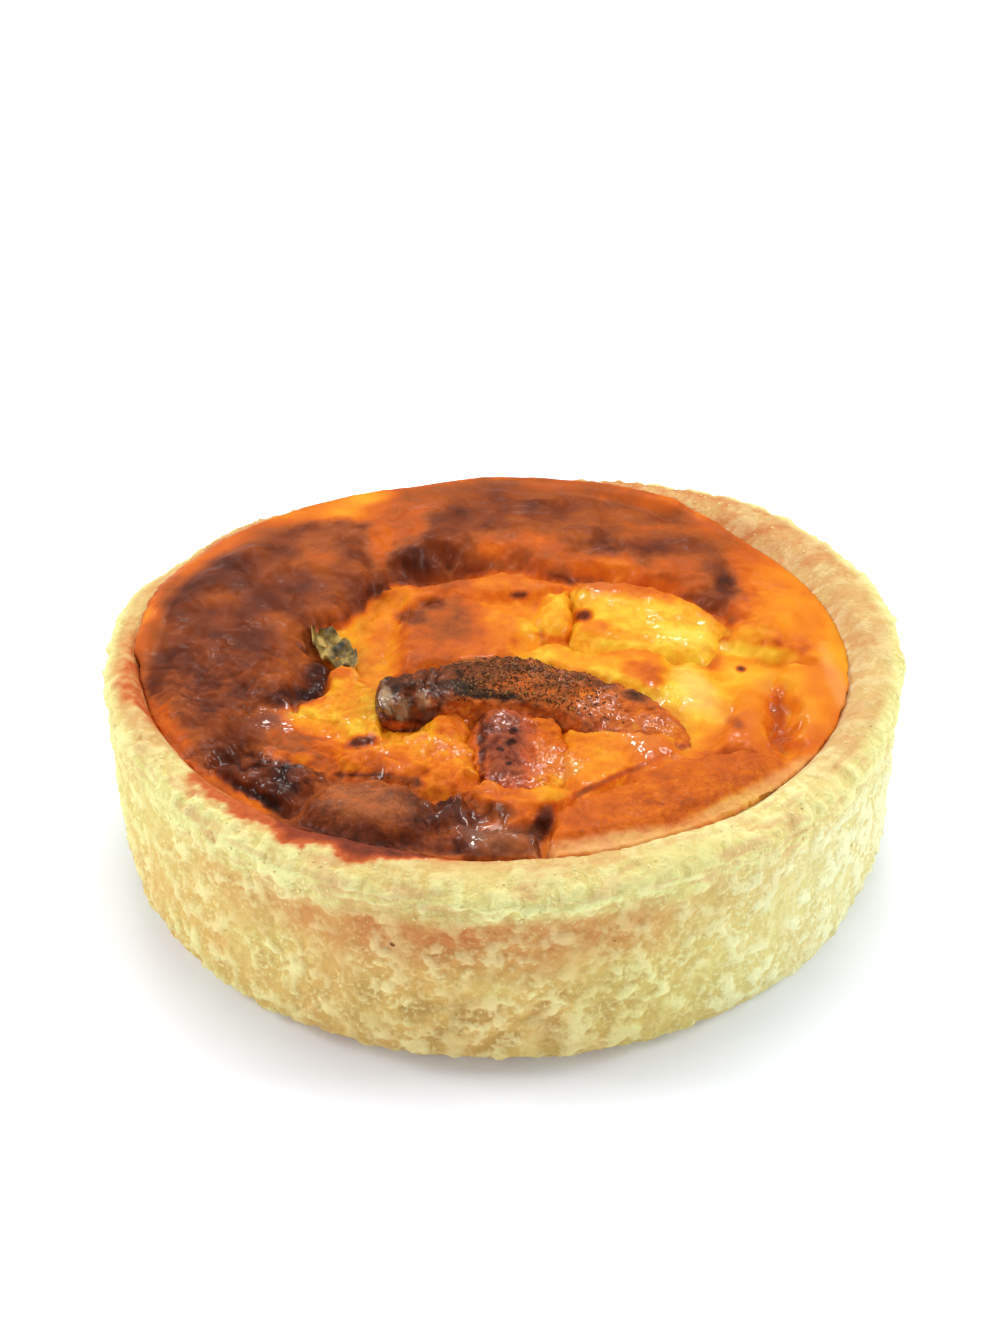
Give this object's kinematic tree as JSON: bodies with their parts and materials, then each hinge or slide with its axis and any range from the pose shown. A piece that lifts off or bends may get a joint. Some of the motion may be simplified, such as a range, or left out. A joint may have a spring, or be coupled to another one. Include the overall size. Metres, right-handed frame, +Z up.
{
  "type": "quiche",
  "caption": "Round individual open quiche: thick straight-sided shortcrust case filled to the rim with browned, torn egg custard holding baked-in pieces and a herb leaf.",
  "frame": {"origin": "middle of the flat underside of the pastry case, on the surface it rests on", "axes": "+Z up through the filling, +Y towards the back, -Y towards the side shown in the picture, +X to the right"},
  "size_m": [0.1098, 0.1101, 0.0332],
  "materials": {
    "pastry": "dry, crumbly and matt",
    "custard": "moist, browned skin with a soft gloss",
    "char": "charred and rough, glossy where fat shows",
    "meat": "browned and moist",
    "cheese": "smooth, moist and softly glossy",
    "leaf": "dried and wrinkled"
  },
  "bodies": {
    "root": {"pastry_case": "pastry", "custard_filling": "custard", "charred_strip": "char", "browned_meat": "meat", "golden_chunk": "cheese", "herb_leaf": "leaf"}
  },
  "joints": []
}
